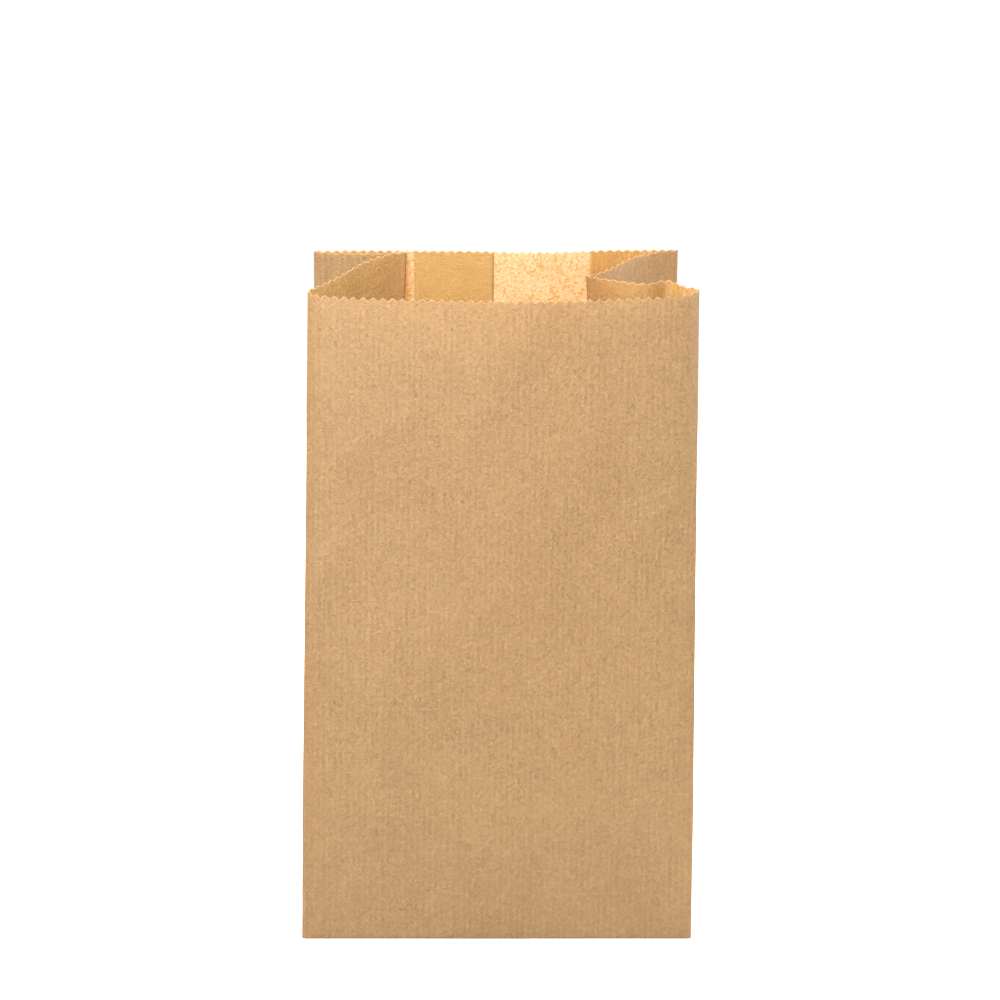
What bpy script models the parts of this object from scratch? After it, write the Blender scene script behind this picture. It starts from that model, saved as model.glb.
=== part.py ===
"""Brown paper lunch bag: one sheet of ribbed kraft paper, folded and glued into a standing, half-open bag.

The sheet is wrapped into a tube whose two ends overlap in a glued seam down the back panel. Each side of
the tube is a gusset, folded inward along its middle. The tube's lower end is folded flat into a rectangular
block bottom, and its upper end is cut by a toothed blade, so the mouth has a zigzag edge.

Metres, +Z up. The origin is the centre of the bottom. The front panel faces -Y and +X is to its right.
The modelled surface is the outside of the paper, and Solidify gives the paper its thickness inward.
"""

import math

import bmesh
import bpy

# Driving dimensions: the flat size of the bag.
PANEL_WIDTH = 0.160  # front and back panels
GUSSET_WIDTH = 0.100  # each side, which is also the depth of the block bottom
BACK_LENGTH = 0.270  # bottom fold to the tips of the teeth at the back
FRONT_LENGTH = 0.267  # the same in front, where the cut is a little lower
PAPER = 0.00012  # one layer of paper

# The glued laps, where two layers lie on each other.
SEAM_LAP = 0.0345
SEAM_EDGE_FROM_CORNER = 0.044  # from the back-left corner to the lap's nearer edge
BOTTOM_LAP = 0.024  # the two long flaps of the block bottom
BOTTOM_TUCK = 0.036  # how far the folded ends of the bottom reach in
LAP_STEP = 0.0006  # run-out of a lap's edge

# The pinked edge of the mouth.
TOOTH_HEIGHT = 0.0020
PANEL_TEETH = 42
HALF_GUSSET_TEETH = 13

# The pose of the half-open bag.
MOUTH_DEPTH = 0.047  # front to back corner at the mouth
LOWER_LEAN = 0.006  # how far the front panel leans back up to the crease left by the folded bottom
FRONT_BOW = 0.008  # the front lip curves outward between its corners
BACK_WAVE = 0.0015  # the back lip is nearly straight
BAG_LEAN = 0.010  # sideways lean, as a slope
LEFT_FOLD_INSET = 0.80  # the left gusset's fold stays nearer its side than the right one's, at the mouth
LEFT_FOLD_BACK = 0.92  # and it lies against the back panel

LOWER_ROWS = 4  # rows of faces below the crease at half the gusset's width
UPPER_ROWS = 5

HALF_WIDTH = PANEL_WIDTH / 2
HALF_GUSSET = GUSSET_WIDTH / 2
GUSSET_TEETH = 2 * HALF_GUSSET_TEETH
COLUMNS = 2 * PANEL_TEETH + 2 * GUSSET_TEETH


def lean_at(height):
    """The sideways shift of the leaning bag, which is nothing at half its height."""
    return BAG_LEAN * (height - BACK_LENGTH / 2)


def clear_scene():
    for obj in list(bpy.data.objects):
        bpy.data.objects.remove(obj)


def blend(a, b, share):
    return a + (b - a) * share


def ease(share):
    """A smooth run from 0 to 1."""
    share = min(max(share, 0), 1)
    return share * share * (3 - 2 * share)


def lean_of_front(length):
    """How far the front panel has leaned back at this length up the panel from the bottom fold."""
    if length < HALF_GUSSET:
        return LOWER_LEAN * length / HALF_GUSSET
    upper = (length - HALF_GUSSET) / (FRONT_LENGTH - HALF_GUSSET)
    return blend(LOWER_LEAN, GUSSET_WIDTH - MOUTH_DEPTH, upper)


def height_of_front(length):
    """The height that the leaning front panel reaches at this length up the panel."""
    lower = min(length, HALF_GUSSET)
    rise = math.sqrt(1 - (LOWER_LEAN / HALF_GUSSET) ** 2) * lower
    upper_run = GUSSET_WIDTH - MOUTH_DEPTH - LOWER_LEAN
    upper_length = FRONT_LENGTH - HALF_GUSSET
    return rise + math.sqrt(1 - (upper_run / upper_length) ** 2) * (length - lower)


def fold_inset(length):
    """How far in from the side a gusset's middle fold lies, where its halves keep their width."""
    half_gap = (GUSSET_WIDTH - lean_of_front(length)) / 2
    return math.sqrt(max(HALF_GUSSET**2 - half_gap**2, 0))


def gusset_point(share, along, side):
    """A point of a gusset: share is 0 at the front corner and 1 at the back one, along is the length up it.

    Below the crease at half its width the gusset holds the flat triangle that the folded bottom leaves.
    """
    from_corner = GUSSET_WIDTH * min(share, 1 - share)
    crease = max(along, HALF_GUSSET)
    inset = fold_inset(crease) * min(from_corner, along) / HALF_GUSSET
    fold_back = 0.5
    if side < 0:
        settled = ease((along - HALF_GUSSET) / (BACK_LENGTH - HALF_GUSSET))
        inset *= blend(1, LEFT_FOLD_INSET, settled)
        fold_back = blend(0.5, LEFT_FOLD_BACK, settled)
    if share < 0.5:
        depth_share = 2 * share * fold_back
    else:
        depth_share = blend(fold_back, 1, 2 * share - 1)
    front_y = lean_of_front(along) - HALF_GUSSET
    y = blend(front_y, HALF_GUSSET, depth_share)
    z = blend(height_of_front(along), along, depth_share)
    return (side * (HALF_WIDTH - inset) + lean_at(z), y, z)


def front_point(share, along):
    """A point of the front panel: share runs from its left corner to its right one."""
    z = height_of_front(along)
    bow = FRONT_BOW * ease(along / FRONT_LENGTH) * (1 - (2 * share - 1) ** 2)
    x = blend(-HALF_WIDTH, HALF_WIDTH, share)
    return (x + lean_at(z), lean_of_front(along) - HALF_GUSSET - bow, z)


def back_point(share, along):
    """A point of the back panel: share runs from its right corner to its left one."""
    wave = BACK_WAVE * ease(along / BACK_LENGTH) * math.sin(3 * math.pi * share) * math.sin(math.pi * share)
    x = blend(HALF_WIDTH, -HALF_WIDTH, share)
    return (x + lean_at(along), HALF_GUSSET + wave, along)


def sheet_point(column, along):
    """The place of a column of the sheet at this share of its length, counted round the bag from front left.

    A column may be fractional, for the tip of a tooth between two columns.
    """
    column %= COLUMNS
    if column < PANEL_TEETH:
        return front_point(column / PANEL_TEETH, along)
    column -= PANEL_TEETH
    if column < GUSSET_TEETH:
        return gusset_point(column / GUSSET_TEETH, along, 1)
    column -= GUSSET_TEETH
    if column < PANEL_TEETH:
        return back_point(column / PANEL_TEETH, along)
    column -= PANEL_TEETH
    return gusset_point(1 - column / GUSSET_TEETH, along, -1)


def cut_length(column):
    """The sheet's length up to the tips of the teeth at this column: lower in front than at the back."""
    column %= COLUMNS
    to_right_front = PANEL_TEETH
    to_right_back = to_right_front + GUSSET_TEETH
    to_left_back = to_right_back + PANEL_TEETH
    if column <= to_right_front:
        return FRONT_LENGTH
    if column < to_right_back:
        return blend(FRONT_LENGTH, BACK_LENGTH, (column - to_right_front) / GUSSET_TEETH)
    if column <= to_left_back:
        return BACK_LENGTH
    return blend(BACK_LENGTH, FRONT_LENGTH, (column - to_left_back) / GUSSET_TEETH)


def in_seam(column):
    """True on the back panel's lapped seam."""
    share = (column - PANEL_TEETH - GUSSET_TEETH) / PANEL_TEETH
    from_left_corner = PANEL_WIDTH * (1 - share)
    return SEAM_EDGE_FROM_CORNER <= from_left_corner <= SEAM_EDGE_FROM_CORNER + SEAM_LAP


def add_walls(bm):
    """The four sides, as a grid of columns, with a tooth on each column's top. Returns its rows."""
    rows = []
    for row in range(LOWER_ROWS + UPPER_ROWS + 1):
        ring = []
        for column in range(COLUMNS):
            if row <= LOWER_ROWS:
                along = HALF_GUSSET * row / LOWER_ROWS
            else:
                top = cut_length(column) - TOOTH_HEIGHT
                along = blend(HALF_GUSSET, top, (row - LOWER_ROWS) / UPPER_ROWS)
            ring.append(bm.verts.new(sheet_point(column, along)))
        rows.append(ring)
    for lower, upper in zip(rows, rows[1:]):
        for i in range(COLUMNS):
            j = (i + 1) % COLUMNS
            bm.faces.new((lower[i], lower[j], upper[j], upper[i]))
    for i in range(COLUMNS):
        j = (i + 1) % COLUMNS
        tip = bm.verts.new(sheet_point(i + 0.5, cut_length(i + 0.5)))
        bm.faces.new((rows[-1][i], rows[-1][j], tip))
    return rows


def bottom_outline(bm, shrink):
    """The lapped part of the block bottom, a long rectangle between the tucked ends, as a loop of edges."""
    x = HALF_WIDTH - BOTTOM_TUCK - shrink
    y = BOTTOM_LAP / 2 - shrink
    shift = lean_at(0)
    places = ((shift - x, -y, 0), (shift + x, -y, 0), (shift + x, y, 0), (shift - x, y, 0))
    corners = [bm.verts.new(place) for place in places]
    return corners, [bm.edges.new((corners[i], corners[i - 1])) for i in range(4)]


def add_bottom(bm, ring):
    """The block bottom, which closes the lowest ring. Returns the corners of its double layer."""
    rim = [bm.edges.get((ring[i], ring[i - 1])) for i in range(COLUMNS)]
    outer, outer_edges = bottom_outline(bm, 0)
    inner, _ = bottom_outline(bm, LAP_STEP)
    bmesh.ops.triangle_fill(bm, edges=rim + outer_edges, use_beauty=True)
    for i in range(4):
        bm.faces.new((outer[i - 1], outer[i], inner[i], inner[i - 1]))
    bm.faces.new(inner)
    for face in bm.faces:
        if all(abs(vert.co.z) < PAPER / 10 for vert in face.verts):
            face.normal_update()
            if face.normal.z > 0:
                face.normal_flip()
    return inner


def paper_material():
    material = bpy.data.materials.new("brown_kraft_paper")
    material.use_nodes = True
    shader = material.node_tree.nodes["Principled BSDF"]
    shader.inputs["Base Color"].default_value = (0.50, 0.30, 0.13, 1)
    shader.inputs["Roughness"].default_value = 0.85
    shader.inputs["Metallic"].default_value = 0
    return material


def make_bag(collection):
    bm = bmesh.new()
    rows = add_walls(bm)
    bottom_lap = add_bottom(bm, rows[0])
    doubled = set(bottom_lap)
    for ring in rows:
        doubled |= {vert for column, vert in enumerate(ring) if in_seam(column)}
    bm.verts.index_update()
    double_indices = [vert.index for vert in doubled]
    single_indices = [vert.index for vert in bm.verts if vert not in doubled]
    mesh = bpy.data.meshes.new("paper_bag")
    bm.to_mesh(mesh)
    bm.free()
    bag = bpy.data.objects.new("paper_bag", mesh)
    collection.objects.link(bag)
    layers = bag.vertex_groups.new(name="layers")
    layers.add(double_indices, 1.0, "REPLACE")
    layers.add(single_indices, 0.5, "REPLACE")
    paper = bag.modifiers.new("paper", "SOLIDIFY")
    paper.thickness = 2 * PAPER
    paper.offset = -1
    paper.vertex_group = "layers"
    mesh.materials.append(paper_material())
    return bag


def main():
    clear_scene()
    collection = bpy.data.collections.new("paper_lunch_bag")
    bpy.context.scene.collection.children.link(collection)
    make_bag(collection)


main()
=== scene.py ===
# %% [markdown]
# # A brown paper lunch bag
#
# The real bag is one sheet of thin ribbed kraft paper. A machine wraps it into a tube, glues the lap down the
# back, tucks a gusset into each side, cuts the tube off with a toothed blade and folds its lower end into a
# block bottom. Here it has been shaken half open and stood up.
#
# This lesson builds it the same way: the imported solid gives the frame, a few outlines give the pose, and one
# long strip of mesh follows them round the bag. The pinked edge is a Geometry Nodes rule, Solidify gives the
# paper its thickness, and the finish is read in the sheet's own coordinates, as print on it would be.

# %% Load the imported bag
import math

import bmesh
import bpy
import numpy as np
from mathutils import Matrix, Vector


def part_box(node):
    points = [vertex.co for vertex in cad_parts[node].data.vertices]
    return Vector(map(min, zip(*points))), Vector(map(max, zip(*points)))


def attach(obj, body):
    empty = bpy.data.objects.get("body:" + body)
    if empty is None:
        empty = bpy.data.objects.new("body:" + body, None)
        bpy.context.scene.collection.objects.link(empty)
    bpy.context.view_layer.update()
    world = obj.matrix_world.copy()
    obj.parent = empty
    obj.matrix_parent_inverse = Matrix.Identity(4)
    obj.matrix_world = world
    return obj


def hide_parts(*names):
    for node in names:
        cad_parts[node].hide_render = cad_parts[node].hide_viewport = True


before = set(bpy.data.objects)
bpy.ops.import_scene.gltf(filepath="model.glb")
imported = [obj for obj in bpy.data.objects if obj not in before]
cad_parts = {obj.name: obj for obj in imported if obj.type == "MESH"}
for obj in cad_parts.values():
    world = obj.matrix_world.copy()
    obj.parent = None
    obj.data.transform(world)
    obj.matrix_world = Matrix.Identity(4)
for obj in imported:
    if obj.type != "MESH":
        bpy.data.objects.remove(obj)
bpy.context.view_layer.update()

MM = 0.001
low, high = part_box("paper_bag")
print("the packed bag's box in mm:", [round(value / MM, 1) for value in (*low, *high)])

# %% [markdown]
# ## The camera and the light
#
# The bag is looked at from a little above its middle, square on to the front panel. A long lens keeps the
# sides nearly upright. The light is a white room: a bright even world, one large soft lamp high on the left
# for the gentle fall from the top left corner to the bottom right one, and one behind the bag, which makes
# thin paper glow where a single layer stands between it and the eye. On the back panel's inside that glow is
# also painted into the paper's colour, as painted light.

# %% Camera
HEIGHT = high[2]
CAMERA_PITCH = math.radians(14.3)
CAMERA_DISTANCE = 0.900
CAMERA_AIM = (0.0, 0.0, 0.1741)
FOCAL_FRAMES = 2.167  # focal length as a share of the picture's width


def make_camera():
    data = bpy.data.cameras.new("camera")
    data.sensor_width = 36
    data.lens = FOCAL_FRAMES * data.sensor_width
    data.clip_start = 0.01
    data.clip_end = 20
    camera = bpy.data.objects.new("camera", data)
    bpy.context.scene.collection.objects.link(camera)
    camera.location = (
        CAMERA_AIM[0],
        CAMERA_AIM[1] - CAMERA_DISTANCE * math.cos(CAMERA_PITCH),
        CAMERA_AIM[2] + CAMERA_DISTANCE * math.sin(CAMERA_PITCH),
    )
    camera.rotation_euler = (math.pi / 2 - CAMERA_PITCH, 0, 0)
    bpy.context.scene.camera = camera
    return camera


camera = make_camera()
print("lens", round(camera.data.lens, 1), "mm on a 36 mm sensor")

# %% Lamps and the white room
ROOM_LIGHT = 1.08


def make_room():
    world = bpy.data.worlds.new("white_room")
    bpy.context.scene.world = world
    world.use_nodes = True
    background = world.node_tree.nodes["Background"]
    background.inputs["Color"].default_value = (1.0, 1.0, 1.0, 1)
    background.inputs["Strength"].default_value = ROOM_LIGHT
    bpy.context.scene.view_settings.view_transform = "Standard"


def make_lamp(name, place, aim, size, watts, colour=(1, 1, 1)):
    data = bpy.data.lights.new(name, "AREA")
    data.shape = "SQUARE"
    data.size = size
    data.energy = watts
    data.color = colour
    lamp = bpy.data.objects.new(name, data)
    bpy.context.scene.collection.objects.link(lamp)
    lamp.location = place
    lamp.rotation_euler = (Vector(aim) - Vector(place)).to_track_quat("-Z", "Y").to_euler()
    lamp.visible_camera = False
    return lamp


make_room()
make_lamp("key_softbox", (-0.24, -0.42, 0.64), (0, 0, 0.2), 0.35, 5.2)
make_lamp("top_softbox", (-0.02, 0.03, 0.56), (0, 0.03, 0.2), 0.14, 1.2)
make_lamp("side_softbox", (0.75, 0.14, 0.42), (0, 0, 0.22), 0.4, 3.5)
make_lamp("back_softbox", (0.10, 0.75, 0.50), (0, 0.05, 0.22), 0.5, 20.0)

# %% [markdown]
# ## The outlines of the sheet
#
# Paper hardly stretches, so every level of the bag is the same strip, bent along the same folds. At the bottom
# it is a rectangle. On the way up the front panel leans back towards the back panel, and each gusset's halves
# keep their width and so push its middle fold inward. At the mouth the paper has relaxed into curves of its
# own, given here as a few points on each side of each fold, and this relaxed shape fades in with height.

# %% Sizes of the sheet, in metres
PANEL = 160 * MM
GUSSET = 100 * MM
SEAM_LAP = 34.7 * MM
SEAM_START = 79 * MM  # from the sheet's inner end to the back-left corner
PAPER = 0.13 * MM
LAYER_GAP = 0.18 * MM  # between the middles of two glued layers
FOLD_CREASE = GUSSET / 2  # the crease that the flat-folded bottom leaves, up from the bottom edge

# The corners and folds, as distances along the strip from its inner end.
BACK_LEFT = SEAM_START
LEFT_FOLD = BACK_LEFT + 42 * MM  # this crease has come out nearer the back
FRONT_LEFT = BACK_LEFT + GUSSET
FRONT_RIGHT = FRONT_LEFT + PANEL
RIGHT_FOLD = FRONT_RIGHT + GUSSET / 2
BACK_RIGHT = FRONT_RIGHT + GUSSET
STRIP = BACK_RIGHT + PANEL - SEAM_START + SEAM_LAP

LEAN = 0.0105  # the whole bag leans to its right, as a slope
LIP_FRONT = 259.6 * MM  # height of the cut edge where it crosses the bag's middle plane in front
LIP_SLOPE = 0.230  # and how it rises towards the back
print("sheet", round(STRIP / MM, 1), "mm round")

# %% The mouth, seen from above, in millimetres from the leaning bag's axis
MOUTH_FRONT = [(-80, 6), (-77.5, 3), (-73, 1), (-61, -1), (-40, -2.8), (-20, -4.2), (0, -5),
               (20, -4.5), (47, -2.6), (67, 0), (76, 3), (80.5, 8)]
MOUTH_RIGHT_FRONT = [(80.5, 8), (77, 9.5), (73.5, 11.5), (71, 15), (67.5, 17.5), (63, 15.5),
                     (59, 14), (51, 15.5), (42, 19), (34, 22.5)]
MOUTH_RIGHT_BACK = [(34, 22.5), (38, 24), (43, 28.5), (47, 33), (54.5, 42.5), (61.5, 47.5),
                    (66, 50), (75, 52)]
MOUTH_BACK = [(75, 52), (60, 51.6), (46, 51.4), (34, 50.2), (20, 49), (5, 49), (-10, 50.2), (-30, 50.8),
              (-46, 51), (-66, 51), (-81.2, 50.2)]
MOUTH_LEFT_BACK = [(-81.2, 50.2), (-76, 49), (-64, 47.8), (-52, 48.2), (-46, 49.4), (-41, 49.4)]
MOUTH_LEFT_FRONT = [(-41, 49.4), (-47, 48), (-53, 43.5), (-58.5, 38), (-63, 30.5), (-68, 22), (-74, 13.5), (-80, 6)]


def even_path(points, count):
    """A smooth curve through the points (Catmull-Rom), as count points evenly spaced along its length."""
    points = np.array(points, float) * MM
    ends = [2 * points[0] - points[1], *points, 2 * points[-1] - points[-2]]
    fine = []
    share = np.linspace(0, 1, 24, endpoint=False)[:, None]
    for a, b, c, d in zip(ends, ends[1:], ends[2:], ends[3:]):
        fine.append(0.5 * (2 * b + (c - a) * share + (2 * a - 5 * b + 4 * c - d) * share**2
                           + (3 * b - a - 3 * c + d) * share**3))
    fine = np.vstack([*fine, points[-1:]])
    run = np.concatenate([[0], np.cumsum(np.linalg.norm(np.diff(fine, axis=0), axis=1))])
    at = np.linspace(0, run[-1], count)
    return np.stack([np.interp(at, run, fine[:, axis]) for axis in (0, 1)], axis=1)


def path_at(path, share):
    """The points of an even path at these shares of its length."""
    at = np.linspace(0, 1, len(path))
    return np.stack([np.interp(share, at, path[:, axis]) for axis in (0, 1)], axis=1)


mouth = {
    "front": even_path(MOUTH_FRONT, 200),
    "right front": even_path(MOUTH_RIGHT_FRONT, 100),
    "right back": even_path(MOUTH_RIGHT_BACK, 100),
    "back": even_path(MOUTH_BACK, 200),
    "left back": even_path(MOUTH_LEFT_BACK, 100),
    "left front": even_path(MOUTH_LEFT_FRONT, 100),
}
for side, path in mouth.items():
    print(side, "runs", round(np.linalg.norm(np.diff(path, axis=0), axis=1).sum() / MM, 1), "mm round the mouth")

# %% One level of the bag
LOWER_LEAN = 5.5 * MM  # how far the front panel leans back up to the crease
CREASE_SHARE = FOLD_CREASE / (LIP_FRONT + 6 * MM)
BOTTOM_CORNERS = {"fl": (-1, -1), "fr": (1, -1), "br": (1, 1), "bl": (-1, 1)}
MOUTH_CORNERS = {
    "fl": mouth["front"][0], "fr": mouth["front"][-1], "br": mouth["back"][0], "bl": mouth["back"][-1],
}


def ease(share):
    share = np.clip(share, 0, 1)
    return share * share * (3 - 2 * share)


def corners_at(level):
    """The four upright folds' places at this level, which is 0 at the bottom and 1 at the mouth."""
    relaxed = ease((level - CREASE_SHARE) / (1 - CREASE_SHARE))
    full_lean = GUSSET / 2 + (MOUTH_CORNERS["fl"][1] + MOUTH_CORNERS["fr"][1]) / 2
    if level < CREASE_SHARE:
        lean = LOWER_LEAN * level / CREASE_SHARE
    else:
        lean = LOWER_LEAN + (full_lean - LOWER_LEAN) * (level - CREASE_SHARE) / (1 - CREASE_SHARE)
    places = {}
    for name, (side, back) in BOTTOM_CORNERS.items():
        front_lean = lean if back < 0 else 0
        straight = np.array([side * (PANEL / 2 + 0.3 * MM), back * GUSSET / 2 + front_lean])
        straight_mouth = np.array([side * (PANEL / 2 + 0.3 * MM), back * GUSSET / 2 + (full_lean if back < 0 else 0)])
        places[name] = straight + relaxed * (MOUTH_CORNERS[name] - straight_mouth)
    return places


def fold_between(a, b, from_a, from_b, inward):
    """A gusset's middle fold in plan, at its halves' widths from the two corners and in from the side."""
    gap = np.linalg.norm(b - a)
    along = (b - a) / gap
    reach = (from_a**2 - from_b**2 + gap**2) / (2 * gap)
    inset = math.sqrt(max(from_a**2 - reach**2, 0))
    across = np.array([along[1], -along[0]])
    if across[0] * inward < 0:
        across = -across
    return a + along * reach + across * inset


def plain_half(corner, other, fold, share, from_fold, up):
    """Half a gusset as a straight run from its corner to the fold. Near the bottom it is held flat."""
    flat = corner + (other - corner) * from_fold * share[:, None]
    tip = corner + (other - corner) * from_fold
    reach = np.minimum(share, up / FOLD_CREASE)
    return flat + (fold - tip) * reach[:, None]


def level_outline(level, strip):
    """The strip's points at one level, before the bag's lean and the seam's lap."""
    relaxed = ease((level - CREASE_SHARE) / (1 - CREASE_SHARE))
    now, top = corners_at(level), corners_at(1.0)
    up = min(level * (LIP_FRONT + 6 * MM), FOLD_CREASE)
    points = np.zeros((len(strip), 2))
    for start, end, a, b in (
        (BACK_LEFT - PANEL, BACK_LEFT, "br", "bl"),
        (FRONT_LEFT, FRONT_RIGHT, "fl", "fr"),
        (BACK_RIGHT, BACK_RIGHT + PANEL, "br", "bl"),
    ):
        here = (strip >= start - 1e-9) & (strip <= end + 1e-9)
        share = (strip[here] - start) / (end - start)
        straight = now[a] + (now[b] - now[a]) * share[:, None]
        straight_top = top[a] + (top[b] - top[a]) * share[:, None]
        bow, side = (level**1.3, "front") if a == "fl" else (relaxed, "back")
        points[here] = straight + bow * (path_at(mouth[side], share) - straight_top)
    for start, fold, end, a, b, inward, first, second in (
        (BACK_LEFT, LEFT_FOLD, FRONT_LEFT, "bl", "fl", 1, "left back", "left front"),
        (FRONT_RIGHT, RIGHT_FOLD, BACK_RIGHT, "fr", "br", -1, "right front", "right back"),
    ):
        tip_now = fold_between(now[a], now[b], fold - start, end - fold, inward)
        tip_top = fold_between(top[a], top[b], fold - start, end - fold, inward)
        first_part = (fold - start) / (end - start)
        for corner, other, low_end, high_end, part, side, forward in (
            (a, b, start, fold, first_part, first, True),
            (b, a, fold, end, 1 - first_part, second, False),
        ):
            here = (strip >= low_end - 1e-9) & (strip <= high_end + 1e-9)
            along = (strip[here] - low_end) / (high_end - low_end)
            share = along if forward else 1 - along
            plain = plain_half(now[corner], now[other], tip_now, share, part, up)
            plain_top = plain_half(top[corner], top[other], tip_top, share, part, FOLD_CREASE)
            points[here] = plain + relaxed * (path_at(mouth[side], along) - plain_top)
    return points


# %% The whole sheet as a fine grid of places
GRID_STEP = 0.5 * MM
strip_at = np.linspace(0, STRIP, round(STRIP / GRID_STEP) + 1)
level_at = np.linspace(0, 1, 271)


def soften(grid, axis, times):
    """Rounds the folds that cross this axis a little."""
    for _ in range(times):
        ahead = np.roll(grid, -1, axis)
        behind = np.roll(grid, 1, axis)
        softer = (ahead + 2 * grid + behind) / 4
        if axis == 0:
            softer[0], softer[-1] = grid[0], grid[-1]
        else:
            softer[:, 0], softer[:, -1] = grid[:, 0], grid[:, -1]
        grid = softer
    return grid


def folded_sheet():
    outlines = np.array([level_outline(level, strip_at) for level in level_at])
    lip = LIP_FRONT + LIP_SLOPE * outlines[-1][:, 1]
    z = level_at[:, None] * lip[None, :]
    x = outlines[:, :, 0] + LEAN * (z - HEIGHT / 2)
    grid = np.stack([x, outlines[:, :, 1], z], axis=2)
    return soften(soften(grid, 1, 2), 0, 2)


def normals_of(grid):
    along = np.gradient(grid, axis=1)
    up = np.gradient(grid, axis=0)
    normal = np.cross(along, up)
    return normal / np.linalg.norm(normal, axis=2, keepdims=True)


sheet = folded_sheet()
print("sheet grid", sheet.shape, "from", sheet.min((0, 1)).round(4), "to", sheet.max((0, 1)).round(4))

# %% [markdown]
# ## What handling did to the paper
#
# A sheet that has been folded flat, packed and shaken open is never quite flat again. It keeps a soft upright
# swell where it was held, long shallow creases that run out from the corners, and the faint line where the
# folded bottom was pressed against it. They could be painted or bumped on, but then the outline and the side
# light would not know about them, so each is a small push along the sheet's own normal. A swell is a wide hump,
# and a crease is a ridge with a tight top and long soft flanks.

# %% Swells and creases
strip_grid, up_grid = np.meshgrid(strip_at / MM, level_at * LIP_FRONT / MM)


def swell(across, up, wide, tall, height):
    """A soft hump round a place on the sheet, in millimetres."""
    return height * MM * np.exp(-(((strip_grid - across) / wide) ** 2 + ((up_grid - up) / tall) ** 2))


def crease(start, end, width, height, fade=12.0):
    """A ridge along a line on the sheet that dies out past its ends, in millimetres."""
    (x0, y0), (x1, y1) = start, end
    length = math.hypot(x1 - x0, y1 - y0)
    along = ((strip_grid - x0) * (x1 - x0) + (up_grid - y0) * (y1 - y0)) / length
    aside = ((strip_grid - x0) * (y1 - y0) - (up_grid - y0) * (x1 - x0)) / length
    beyond = np.maximum(np.maximum(-along, along - length), 0)
    profile = np.exp(-np.sqrt((aside / width) ** 2 + 0.05) + math.sqrt(0.05))
    return height * MM * profile * np.exp(-((beyond / fade) ** 2))


F, R, B, L = (value / MM for value in (FRONT_LEFT, FRONT_RIGHT, BACK_RIGHT, BACK_LEFT))
handling = (
    swell(F + 77, 150, 34, 110, 0.9)  # the front panel's soft upright swell
    + swell(F + 30, 215, 26, 40, 0.5)
    - swell(F + 125, 120, 24, 70, 0.6)
    + swell(B + 60, 140, 40, 90, 0.8)
    - swell(B + 110, 120, 24, 70, 0.5)
    + swell(L - 30, 130, 22, 80, 0.5)
    + crease((F + 2, 185), (F + 40, 212), 4.5, 0.60)
    + crease((F + 6, 165), (F + 50, 176), 5.0, -0.40)
    + crease((F + 8, 140), (F + 44, 128), 5.0, -0.40)
    + crease((F + 136, 167), (F + 159, 187), 4.0, 0.55)
    + crease((F + 132, 140), (F + 159, 158), 4.0, -0.45)
    + crease((F + 50, 232), (F + 74, 205), 6.0, 0.40)
    + crease((F + 42, 80), (F + 64, 84), 3.0, -0.30)
    + crease((F + 46, 46), (F + 110, 120), 10.0, -0.45)
    + crease((F + 0, 50), (F + 100, 48), 1.8, -0.22)
    + crease((F + 110, 30), (F + 150, 36), 5.0, -0.30)
    + crease((F + 1, 1), (F + 24, 24), 1.6, 0.35)
    + crease((R - 1, 1), (R - 22, 22), 1.6, 0.25)
    + crease((B + 12, 60), (B + 60, 95), 4.0, 0.30)
    + crease((B + 100, 190), (B + 70, 220), 5.0, -0.28)
    + crease((L - 60, 180), (L - 20, 150), 5.0, 0.30)
)
fold_distance = np.min([abs(strip_at - fold) for fold in (BACK_LEFT, LEFT_FOLD, FRONT_LEFT, FRONT_RIGHT,
                                                          RIGHT_FOLD, BACK_RIGHT)], axis=0)
handling *= ease(fold_distance / (9 * MM))[None, :]
print("handling moves the sheet by", handling.min().round(5), "to", handling.max().round(5), "m")

# %% Lay the lap's inner end inside its outer one
along_lap = SEAM_LAP + 2 * MM
inner_end = ease((along_lap - strip_at) / (2 * MM))
sheet += normals_of(sheet) * (handling - LAYER_GAP * inner_end[None, :])[:, :, None]

# %% [markdown]
# ## One strip of mesh
#
# The columns of the mesh stand on the tips and valleys of the teeth, so that the pinked edge can be cut
# without breaking a face, and more of them lie close together at the folds, which need a tight bend. The rows
# crowd together at the mouth and at the pressed crease for the same reason.

# %% Columns and rows
TOOTH_PITCH = 3.85 * MM
TOOTH_PHASE = 1.45 * MM  # from the front left corner to the first tip
FOLD_STEPS = np.array([-1.5, -0.75, 0.75, 1.5]) * MM
FOLDS = [BACK_LEFT, LEFT_FOLD, FRONT_LEFT, FRONT_RIGHT, RIGHT_FOLD, BACK_RIGHT]


def column_places():
    first = FRONT_LEFT + TOOTH_PHASE - math.floor((FRONT_LEFT + TOOTH_PHASE) / TOOTH_PITCH) * TOOTH_PITCH
    teeth = np.arange(first - TOOTH_PITCH / 2, STRIP, TOOTH_PITCH / 2)
    clear = [place for place in teeth if place > 0 and min(abs(place - fold) for fold in FOLDS) > 2.0 * MM]
    folds = [fold + step for fold in FOLDS for step in (*FOLD_STEPS, 0)]
    return np.unique(np.round([0, *clear, *folds, STRIP], 6))


def row_places():
    top = 1 - np.array([0, 0.4, 0.8, 1.3, 1.9, 2.6, 3.5, 4.6, 6.0]) * MM / LIP_FRONT
    pressed = np.arange(FOLD_CREASE - 4 * MM, FOLD_CREASE + 4 * MM, 0.8 * MM) / LIP_FRONT
    bottom = np.array([0, 0.5, 1.0, 2.0, 3.2]) * MM / LIP_FRONT
    lower = np.linspace(bottom[-1], pressed[0], 24)[1:-1]
    upper = np.linspace(pressed[-1], top[-1], 96)[1:-1]
    return np.sort(np.concatenate([top, pressed, bottom, lower, upper]))


columns, rows = column_places(), row_places()
print(len(columns), "columns and", len(rows), "rows")


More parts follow.
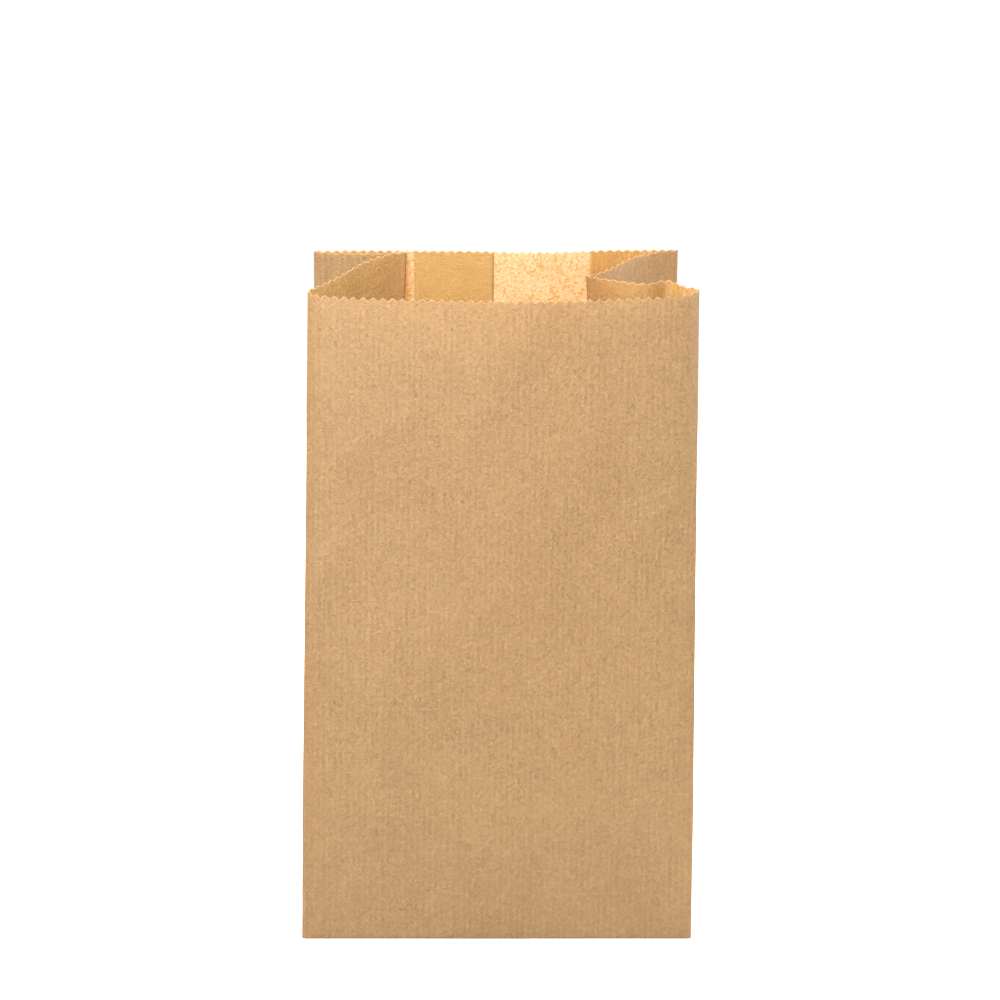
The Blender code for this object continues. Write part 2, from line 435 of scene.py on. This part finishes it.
def sample_sheet(rows, columns):
    """The fine grid's places at these rows and columns, by linear steps between its points."""
    row = np.clip(np.interp(rows, level_at, np.arange(len(level_at))), 0, len(level_at) - 1.001)
    column = np.clip(columns / (strip_at[1]), 0, len(strip_at) - 1.001)
    i, j = row.astype(int)[:, None], column.astype(int)[None, :]
    di, dj = (row % 1)[:, None, None], (column % 1)[None, :, None]
    low_edge = sheet[i, j] * (1 - dj) + sheet[i, j + 1] * dj
    high_edge = sheet[i + 1, j] * (1 - dj) + sheet[i + 1, j + 1] * dj
    return low_edge * (1 - di) + high_edge * di


# %% [markdown]
# ## The block bottom
#
# The tube's lower end is folded like a parcel's end: the two gusset ends go in first, then the back panel's
# end, then the front panel's over it with a glued lap across the middle. The panels' ends are drawn to 45
# degrees at their corners. All of it could be one flat plate, but from below or from the mouth the steps are
# what tells a bag's bottom from a box's, so each end is its own layer of sheet, set a paper's thickness apart.

# %% The four folded ends
END_REACH = 62 * MM  # half the bottom's depth and half the lap
FLAP_HEIGHTS = {"front": 0.08 * MM, "back": 0.30 * MM, "gusset": 0.52 * MM}
FLAP_STEPS = 14


def rim_height(strip):
    """The height of the bottom fold, which differs by a layer or two from one side to the next."""
    knots, heights = [0.0], [FLAP_HEIGHTS["back"]]
    sides = [("back", BACK_LEFT, "gusset"), ("gusset", FRONT_LEFT, "front"),
             ("front", FRONT_RIGHT, "gusset"), ("gusset", BACK_RIGHT, "back")]
    for before, place, after in sides:
        knots += [place - 1.5 * MM, place + 1.5 * MM]
        heights += [FLAP_HEIGHTS[before], FLAP_HEIGHTS[after]]
    return np.interp(strip, knots, heights)


def flap_grid(start, end, inward, drawn, height):
    """A folded end as a grid: from the bottom edge between two corners, in to its reach."""
    start, end, inward = (np.array(value, float) for value in (start, end, inward))
    along = (end - start) / np.linalg.norm(end - start)
    points = []
    for depth in np.linspace(0, END_REACH, FLAP_STEPS):
        pull = depth if drawn else 0.0
        first, last = start + along * pull + inward * depth, end - along * pull + inward * depth
        for share in np.linspace(0, 1, FLAP_STEPS):
            points.append([*(first + (last - first) * share), height])
    return np.array(points).reshape(FLAP_STEPS, FLAP_STEPS, 3)


# %% Build the strip and the bottom as one mesh
def add_grid(bm, points, places):
    """Adds a grid of faces. places gives each point's (round, up) on the sheet, kept as its texture place."""
    layer = bm.loops.layers.uv["UVMap"]
    verts = [[bm.verts.new(point) for point in row] for row in points]
    for i in range(len(verts) - 1):
        for j in range(len(verts[0]) - 1):
            corners = ((i, j), (i, j + 1), (i + 1, j + 1), (i + 1, j))
            face = bm.faces.new([verts[a][b] for a, b in corners])
            face.smooth = True
            for loop, (a, b) in zip(face.loops, corners):
                loop[layer].uv = places[a][b]
    return verts


def make_sheet():
    bm = bmesh.new()
    bm.loops.layers.uv.new("UVMap")
    wall = sample_sheet(rows, columns)
    height = rim_height(columns)
    lift = np.exp(-rows * LIP_FRONT / (3 * MM))
    wall[:, :, 2] += lift[:, None] * height[None, :]
    length = wall[:, :, 2]
    places = [[(s, z) for s, z in zip(columns, level)] for level in length]
    add_grid(bm, wall, places)
    shift = LEAN * -HEIGHT / 2
    x, y = PANEL / 2 - 0.3 * MM, GUSSET / 2 - 0.3 * MM
    ends = [
        ((shift - x, -y), (shift + x, -y), (0, 1), True, "front", FRONT_LEFT),
        ((shift + x, y), (shift - x, y), (0, -1), True, "back", BACK_RIGHT),
        ((shift + x, -y), (shift + x, y), (-1, 0), False, "gusset", FRONT_RIGHT),
        ((shift - x, y), (shift - x, -y), (1, 0), False, "gusset", BACK_LEFT),
    ]
    for start, end, inward, drawn, name, strip_start in ends:
        grid = flap_grid(start, end, inward, drawn, FLAP_HEIGHTS[name])
        along = np.array(end) - np.array(start)
        along = along / np.linalg.norm(along)
        flap_places = []
        for level in grid:
            flap_places.append([
                (strip_start + (point[:2] - start) @ along, -((point[:2] - start) @ np.array(inward)))
                for point in level
            ])
        add_grid(bm, grid[::-1], flap_places[::-1])
    mesh = bpy.data.meshes.new("paper_sheet")
    bm.to_mesh(mesh)
    bm.free()
    return mesh


sheet_mesh = make_sheet()
print(len(sheet_mesh.polygons), "faces before the paper has its thickness")

# %% [markdown]
# ## Paper, as a finish
#
# Kraft paper is wood fibre with the colour left in. Close up it has ribs from the machine's roller, a cloudy
# formation where fibres clump, short fibres that lie mostly along the web, and a few dark specks. It reflects
# light from its rough face and lets some through, so the finish mixes a rough shader with a translucent one.
# All of it is worked out in the sheet's coordinates, distance round the bag and height up it, so ribs run
# upright on every side and turn the corners as print would. Sums on sockets are written as Python sums.

# %% Sums on shader sockets
class Sock:
    """A shader socket with the usual sums on it."""

    tree = None

    def __init__(self, socket):
        self.socket = socket

    def sum(self, operation, *others, clamp=False):
        node = Sock.tree.nodes.new("ShaderNodeMath")
        node.operation = operation
        node.use_clamp = clamp
        for place, value in enumerate((self, *others)):
            if isinstance(value, Sock):
                Sock.tree.links.new(value.socket, node.inputs[place])
            else:
                node.inputs[place].default_value = value
        return Sock(node.outputs[0])

    def __add__(self, other):
        return self.sum("ADD", other)

    __radd__ = __add__

    def __mul__(self, other):
        return self.sum("MULTIPLY", other)

    __rmul__ = __mul__

    def __sub__(self, other):
        return self.sum("SUBTRACT", other)

    def __rsub__(self, other):
        return (self * -1.0) + other

    def __truediv__(self, other):
        return self.sum("DIVIDE", other)

    def __pow__(self, other):
        return self.sum("POWER", other)

    def abs(self):
        return self.sum("ABSOLUTE")

    def sine(self):
        return self.sum("SINE")

    def at_least(self, other):
        return self.sum("MAXIMUM", other)

    def at_most(self, other):
        return self.sum("MINIMUM", other)

    def step(self, start, end, low=0.0, high=1.0):
        """A smooth run from low to high as the socket goes from start to end."""
        settings = {"interpolation_type": "SMOOTHSTEP"}
        return node("MapRange", settings, {0: self, 1: start, 2: end, 3: low, 4: high})[0]


def node(kind, settings=None, inputs=None):
    """Adds any shader node: its settings first, then its sockets' values or links. Returns its outputs."""
    made = Sock.tree.nodes.new("ShaderNode" + kind)
    for name, value in (settings or {}).items():
        setattr(made, name, value)
    for name, value in (inputs or {}).items():
        if isinstance(value, Sock):
            Sock.tree.links.new(value.socket, made.inputs[name])
        else:
            made.inputs[name].default_value = value
    return [Sock(output) for output in made.outputs]


def paint(factor, below, above, blend="MIX"):
    """Mixes two colours, each a socket or three numbers, by a factor."""
    settings = {"data_type": "RGBA", "blend_type": blend}
    values = [value if isinstance(value, Sock) else (*value, 1) for value in (below, above)]
    return node("Mix", settings, {0: factor, 6: values[0], 7: values[1]})[2]


def start_material(name):
    material = bpy.data.materials.new(name)
    material.use_nodes = True
    Sock.tree = material.node_tree
    Sock.tree.nodes.clear()
    return material


def finish_material(shader):
    output = Sock.tree.nodes.new("ShaderNodeOutputMaterial")
    Sock.tree.links.new(shader.socket, output.inputs["Surface"])


# %% Patterns in the sheet's coordinates
def sheet_place():
    """The place on the sheet: metres round the bag and up it, and both as a vector."""
    place = node("UVMap", {"uv_map": "UVMap"})[0]
    around, up, _ = node("SeparateXYZ", None, {0: place})
    return place, around, up


def cloud(place, stretch, size, detail=2.0, roughness=0.5, swirl=0.0, offset=(0, 0, 0)):
    """Noise with features of this size in millimetres, drawn out by the stretch in each direction."""
    scale = [1 / (MM * size * s) for s in stretch]
    spot = node("Mapping", None, {0: place, "Location": offset, "Scale": (*scale, 1)})[0]
    values = {"Vector": spot, "Scale": 1.0, "Detail": detail, "Roughness": roughness, "Distortion": swirl}
    return node("TexNoise", {"noise_dimensions": "2D"}, values)[0]


def band(around, start, end, soft):
    """1 between two places round the sheet, with soft ends."""
    middle, half = (start + end) / 2, (end - start) / 2
    return (around - middle).abs().step(half + soft / 2, half - soft / 2)


RIB_PITCH = 2.4 * MM
PAPER_DARK = (0.165, 0.088, 0.028)
PAPER_LIGHT = (0.470, 0.312, 0.144)
# The inside is the same paper as the outside. Its palette is lighter and more orange as painted light, standing in
# for light bounced round inside the bag.
INSIDE_BOUNCE_LIT_DARK = (0.210, 0.108, 0.030)
INSIDE_BOUNCE_LIT_LIGHT = (0.560, 0.352, 0.122)
# the brown of the painted shade at the folds and along the bottom edge
PAINTED_SHADE_BROWN = (0.330, 0.150, 0.045)


def kraft_paper(name, inside):
    """The paper's face. Inside, the back panel's single-layer fields are painted paler: a painted glow that stands in
    for light coming through one layer.
    """
    material = start_material(name)
    place, around, up = sheet_place()
    drift = cloud(place, (2.0, 30.0), 1.6, 2.0)
    ribs = ((around + drift * (1.6 * MM)) * (2 * math.pi / RIB_PITCH)).sine()
    streaks = cloud(place, (0.8, 9.0), 1.5, 2.0, 0.6, 0.0, (1.9, 5.3, 0))
    grain = cloud(place, (1.0, 1.0), 1.15, 1.0, 0.6, 0.9, (3.1, 1.7, 0))
    fibres = cloud(place, (1.0, 1.1), 2.3, 2.0, 0.55, 1.5, (8.1, 3.2, 0))
    formation = cloud(place, (1.0, 1.3), 6.0, 3.0, 0.6, 0.4, (7.3, 2.2, 0))
    blotch = cloud(place, (1.0, 1.3), 34.0, 3.0, 0.55, 0.3, (1.3, 9.4, 0))
    tone = (0.50 + ribs * 0.035 + (streaks - 0.5) * 0.20 + (grain - 0.5) * 0.70 + (fibres - 0.5) * 0.48
            + (formation - 0.5) * 0.12 + (blotch - 0.5) * 0.22)
    # Inside, the lighter and more orange palette is painted bounce light.
    colour = paint(tone, INSIDE_BOUNCE_LIT_DARK, INSIDE_BOUNCE_LIT_LIGHT) if inside else paint(tone, PAPER_DARK, PAPER_LIGHT)

    specks = cloud(place, (1.0, 1.8), 0.9, 1.0, 0.5, 0.0, (5.5, 8.1, 0)).step(0.76, 0.80)
    colour = paint(specks * 0.5, colour, (0.16, 0.08, 0.03))
    share = 0.27 + (formation - 0.5) * 0.12

    if inside:
        # Painted glow: the back panel's single-layer fields inside are painted pale cream, standing in for light from
        # behind coming through one layer, and the translucent share there is raised too. The stretch within 39 mm of
        # the back-right corner gets no glow and stays darker, as painted shade from the right gusset.
        glow_field = band(around, BACK_RIGHT + 39 * MM, STRIP + 5 * MM, 2.5 * MM)
        glow_strip = band(around, SEAM_LAP + 0.2 * MM, SEAM_LAP + 7 * MM, 1.0 * MM)
        painted_glow = (glow_field + glow_strip).at_most(1.0)
        web = cloud(place, (1.0, 1.0), 2.6, 3.0, 0.62, 2.2, (4.4, 6.6, 0)).step(0.36, 0.60)
        glow_colour = paint(web, (0.50, 0.30, 0.11), (0.86, 0.80, 0.62))
        colour = paint(painted_glow * 0.85, colour, glow_colour)
        share = share + painted_glow * (0.10 + web * 0.14)
        # Painted light: the lap's inside is painted a brighter orange, standing in for light from behind coming
        # through the two glued layers.
        lap_glow = band(around, -5 * MM, SEAM_LAP, 0.4 * MM)
        colour = paint(lap_glow * 0.5, colour, (0.78, 0.47, 0.15))

    # Painted shade: the paper is darkened towards every fold, and inside much more towards the gussets' middle folds.
    # A thin dark line is painted along each fold and along the bottom edge, where shade falls.
    fold_gap = 1.0
    for fold in FOLDS:
        fold_gap = (around - fold).abs().at_most(fold_gap)
    shaded = fold_gap.step(9 * MM, 1 * MM) * 0.10
    if inside:
        deep_gap = (around - LEFT_FOLD).abs().at_most((around - RIGHT_FOLD).abs())
        shaded = shaded + deep_gap.step(24 * MM, 0.0) * 0.5
    fold_line_shade = fold_gap.step(0.9 * MM, 0.3 * MM) * 0.5
    bottom_edge_shade = up.abs().step(0.9 * MM, 0.2 * MM) * 0.6
    colour = paint((shaded + fold_line_shade + bottom_edge_shade).at_most(1.0), colour, PAINTED_SHADE_BROWN)
    below_cut = node("Attribute", {"attribute_name": "below_cut"})[2]
    # Painted highlight: a paler line just below the cut edge, standing in for light catching the lip.
    colour = paint(below_cut.step(0.6 * MM, 0.1 * MM) * 0.3, colour, (0.56, 0.40, 0.22))

    relief = (ribs * 0.010 + (streaks - 0.5) * 0.08 + (grain - 0.5) * 0.16 + (fibres - 0.5) * 0.24
              + (formation - 0.5) * 0.30)
    bump = node("Bump", None, {"Strength": 0.9, "Distance": 0.9 * MM, "Height": relief})[0]
    roughness = 0.58 + (fibres - 0.5) * 0.2
    face = node("BsdfPrincipled", None, {
        "Base Color": colour, "Roughness": roughness, "Normal": bump, "Specular IOR Level": 0.5,
    })[0]
    through = node("BsdfTranslucent", None, {"Color": (0.90, 0.60, 0.27, 1), "Normal": bump})[0]
    doubled = (band(around, -5 * MM, SEAM_LAP, 0.6 * MM)
               + band(around, STRIP - SEAM_LAP, STRIP + 5 * MM, 0.6 * MM)).at_most(1.0)
    share = share * (1.0 - doubled * 0.2)
    finish_material(node("MixShader", None, {0: share, 1: face, 2: through})[0])
    return material


def cut_edge():
    material = start_material("cut_paper_edge")
    place, around, up = sheet_place()
    fuzz = cloud(place, (1.0, 1.0), 0.4, 2.0, 0.6)
    colour = paint(fuzz, (0.36, 0.24, 0.11), (0.52, 0.38, 0.21))
    bump = node("Bump", None, {"Strength": 0.4, "Distance": 0.1 * MM, "Height": fuzz})[0]
    finish_material(node("BsdfPrincipled", None, {
        "Base Color": colour, "Roughness": 0.9, "Normal": bump,
    })[0])
    return material


outer_face = kraft_paper("brown_kraft_paper", False)
inner_face = kraft_paper("brown_kraft_paper_inside", True)
edge = cut_edge()
print("finishes:", outer_face.name, inner_face.name, edge.name)

# %% [markdown]
# ## The pinked edge
#
# A toothed blade cuts the flattened tube, so tips and valleys stand in line through all its layers. Cutting
# the shape out with a Boolean would leave long thin faces in a sheet that still has to bend. A Geometry Nodes
# tree is the better way: it reads how far each point lies round the sheet, works out a triangle
# wave, and slides the top few millimetres of the sheet down under each valley. The pitch, the depth and the
# band that gives way are inputs, so a different blade is three numbers.

# %% A Geometry Nodes tree for the blade
TOOTH_DEPTH = {"front": 1.5 * MM, "gusset": 0.9 * MM, "back": 0.9 * MM}  # the doubled layers tear less deeply
TOOTH_BAND = 7.0 * MM


def tree_node(tree, kind, settings=None, inputs=None):
    """Adds a node to a geometry tree, as the shader helper above does, and returns its outputs."""
    made = tree.nodes.new(kind)
    for name, value in (settings or {}).items():
        setattr(made, name, value)
    for name, value in (inputs or {}).items():
        if isinstance(value, bpy.types.NodeSocket):
            tree.links.new(value, made.inputs[name])
        else:
            made.inputs[name].default_value = value
    return made.outputs


def pinked_edge_tree():
    tree = bpy.data.node_groups.new("pinked_edge", "GeometryNodeTree")
    face = tree.interface
    face.new_socket("Geometry", in_out="INPUT", socket_type="NodeSocketGeometry")
    for name in ("Tooth pitch", "First tip", "Depth scale", "Band"):
        face.new_socket(name, in_out="INPUT", socket_type="NodeSocketFloat")
    face.new_socket("Paper", in_out="INPUT", socket_type="NodeSocketMaterial")
    face.new_socket("Geometry", in_out="OUTPUT", socket_type="NodeSocketGeometry")
    into = tree.nodes.new("NodeGroupInput").outputs

    def maths(operation, *values):
        return tree_node(tree, "ShaderNodeMath", {"operation": operation}, dict(enumerate(values)))[0]

    def named(name):
        return tree_node(tree, "GeometryNodeInputNamedAttribute", {"data_type": "FLOAT"}, {"Name": name})[0]

    across = maths("DIVIDE", maths("SUBTRACT", named("round_sheet"), into["First tip"]), into["Tooth pitch"])
    valley = maths("MULTIPLY", maths("PINGPONG", across, 0.5), 2.0)
    near_cut = maths("SUBTRACT", 1.0, maths("DIVIDE", named("below_cut"), into["Band"]))
    give = maths("POWER", maths("MAXIMUM", near_cut, 0.0), 1.5)
    depth = maths("MULTIPLY", named("tooth_depth"), into["Depth scale"])
    drop = maths("MULTIPLY", maths("MULTIPLY", valley, give), depth)
    offset = tree_node(tree, "ShaderNodeCombineXYZ", None, {"Z": maths("MULTIPLY", drop, -1.0)})[0]
    moved = tree_node(tree, "GeometryNodeSetPosition", None, {"Geometry": into["Geometry"], "Offset": offset})[0]
    real = tree_node(tree, "GeometryNodeRealizeInstances", None, {"Geometry": moved})[0]
    done = tree_node(tree, "GeometryNodeSetMaterial", None, {"Geometry": real, "Material": into["Paper"]})[0]
    out = tree.nodes.new("NodeGroupOutput")
    tree.links.new(done, out.inputs["Geometry"])
    return tree


def cut_edge_teeth(mesh):
    """Runs the tree on the sheet and returns the toothed mesh."""
    blank = bpy.data.objects.new("blank_sheet", mesh)
    bpy.context.scene.collection.objects.link(blank)
    modifier = blank.modifiers.new("pinked_edge", "NODES")
    modifier.node_group = pinked_edge_tree()
    values = {"Tooth pitch": TOOTH_PITCH, "First tip": FRONT_LEFT + TOOTH_PHASE, "Depth scale": 1.0,
              "Band": TOOTH_BAND, "Paper": outer_face}
    for item in modifier.node_group.interface.items_tree:
        if item.in_out == "INPUT" and item.name in values:
            modifier[item.identifier] = values[item.name]
    graph = bpy.context.evaluated_depsgraph_get()
    toothed = bpy.data.meshes.new_from_object(blank.evaluated_get(graph))
    bpy.data.objects.remove(blank)
    return toothed


# %% Tell each point where it lies, then run the blade
def add_places(mesh):
    count = len(rows) * len(columns)
    across, depth = np.zeros(len(mesh.vertices)), np.zeros(len(mesh.vertices))
    below = np.full(len(mesh.vertices), 1.0)
    depths = [TOOTH_DEPTH[side] for side in ("back", "gusset", "front", "gusset", "back")]
    side = np.searchsorted([BACK_LEFT, FRONT_LEFT, FRONT_RIGHT, BACK_RIGHT], columns)
    depth[:count] = np.tile(np.array(depths)[side], len(rows))
    across[:count] = np.tile(columns, len(rows))
    below[:count] = np.repeat((1 - rows) * LIP_FRONT, len(columns))
    for name, values in (("round_sheet", across), ("below_cut", below), ("tooth_depth", depth)):
        attribute = mesh.attributes.new(name, "FLOAT", "POINT")
        attribute.data.foreach_set("value", values.astype(np.float32))


add_places(sheet_mesh)
bag_mesh = cut_edge_teeth(sheet_mesh)
bag_mesh.name = "standing_lunch_bag"
print("toothed sheet:", len(bag_mesh.polygons), "faces")

# %% [markdown]
# ## Thickness
#
# The sheet so far is a surface without a back. Solidify gives it its 0.13 mm and closes the cut edges, which
# take their own paler finish, because a blade leaves the fibres' raw ends showing.

# %% Give the paper its thickness
for finish in (inner_face, edge):
    bag_mesh.materials.append(finish)
bag = bpy.data.objects.new("standing_lunch_bag", bag_mesh)
bpy.context.scene.collection.objects.link(bag)
thick = bag.modifiers.new("paper", "SOLIDIFY")
thick.thickness = PAPER
thick.offset = 0
thick.material_offset = 1
thick.material_offset_rim = 2
print("the bag has", 2 * len(bag_mesh.polygons), "faces with its inside")

# %% [markdown]
# ## The floor and the hand-over
#
# The bag stands on a plain white floor, which is no part of it. The bag rides on the one body that the packed
# part has and stands in for its plain solid.

# %% Floor
def make_floor():
    mesh = bpy.data.meshes.new("floor")
    half = 6.0
    mesh.from_pydata([(-half, -half, 0), (half, -half, 0), (half, half, 0), (-half, half, 0)], [], [(0, 1, 2, 3)])
    floor = bpy.data.objects.new("floor", mesh)
    bpy.context.scene.collection.objects.link(floor)
    material = start_material("white_floor")
    finish_material(node("BsdfPrincipled", None, {"Base Color": (0.94, 0.94, 0.94, 1), "Roughness": 0.8,
                                                  "Specular IOR Level": 0.1})[0])
    mesh.materials.append(material)
    return floor


make_floor()

# %% Hand over
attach(bag, "root")
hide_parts("paper_bag")
